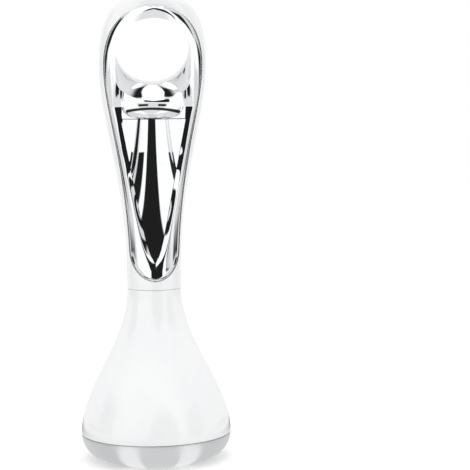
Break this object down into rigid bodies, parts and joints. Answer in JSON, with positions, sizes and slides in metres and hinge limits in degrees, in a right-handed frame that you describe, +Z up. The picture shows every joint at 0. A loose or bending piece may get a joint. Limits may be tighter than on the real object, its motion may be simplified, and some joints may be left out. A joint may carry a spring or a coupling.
{
  "type": "vibrating facial massager",
  "caption": "Hand-held battery massager: white bell head with a round steel contact plate, slim leaning handle with a chrome thumb scoop and an oval finger ring.",
  "frame": {"origin": "centre of the plate's flat face, at the bottom of the bell head", "axes": "+Z up the head's axis to the finger ring, chrome front towards -Y, +X to the right of the front view"},
  "size_m": [0.054, 0.054, 0.165],
  "materials": {
    "white_gloss": "glossy white moulding",
    "chrome": "mirror-plated plastic",
    "satin_steel": "satin stainless steel",
    "steel": "bright steel",
    "brass": "plain brass",
    "grey_plastic": "moulded plastic",
    "black_plastic": "matt black",
    "rubber": "soft black rubber",
    "board_green": "lacquered board",
    "cell_wrap": "plain wrapper",
    "wire_red": "insulated lead",
    "wire_blue": "insulated lead"
  },
  "bodies": {
    "body": {"battery_cell": "cell_wrap", "battery_chassis": "grey_plastic", "board_screw_1": "steel", "board_screw_2": "steel", "chassis_screw_1": "steel", "chassis_screw_2": "steel", "chassis_screw_3": "steel", "chrome_trim": "chrome", "driver_chip": "black_plastic", "flyback_diode": "black_plastic", "handle_shell": "white_gloss", "head_shell": "white_gloss", "key_pivot_pin": "steel", "motor_can": "steel", "motor_end_cap": "black_plastic", "motor_strap": "steel", "motor_wire": "wire_blue", "negative_leaf": "brass", "negative_wire": "black_plastic", "positive_contact": "brass", "positive_wire": "wire_red", "strap_screw_1": "steel", "strap_screw_2": "steel", "switch_board": "board_green", "switch_body": "black_plastic"},
    "key": {"thumb_key": "chrome"},
    "plunger": {"switch_plunger": "grey_plastic"},
    "rotor": {"motor_shaft": "steel", "eccentric_weight": "brass"},
    "base": {"massage_plate": "satin_steel", "plate_carrier": "grey_plastic", "base_seal_ring": "rubber", "negative_spring": "steel", "contact_plate": "brass"}
  },
  "joints": [
    {"name": "key_press", "type": "hinge", "parent": "body", "child": "key", "pos_m": [0, -0.0055, 0.077], "axis": [-1, 0, 0], "range_deg": [0, 1.2], "stiffness_Nm_per_rad": 0.5},
    {"name": "plunger_press", "type": "slide", "parent": "body", "child": "plunger", "axis": [0, 1, 0], "range_m": [0, 0.0005]},
    {"name": "motor_spin", "type": "hinge", "parent": "body", "child": "rotor", "pos_m": [0, 0.0122, 0.015], "axis": [0, 0, 1], "continuous": true},
    {"name": "base_twist", "type": "hinge", "parent": "body", "child": "base", "pos_m": [0, 0, 0], "axis": [0, 0, -1], "range_deg": [0, 45]}
  ],
  "couplings": [
    {"joint": "plunger_press", "follows": "key_press", "m_per_rad": 0.022}
  ]
}
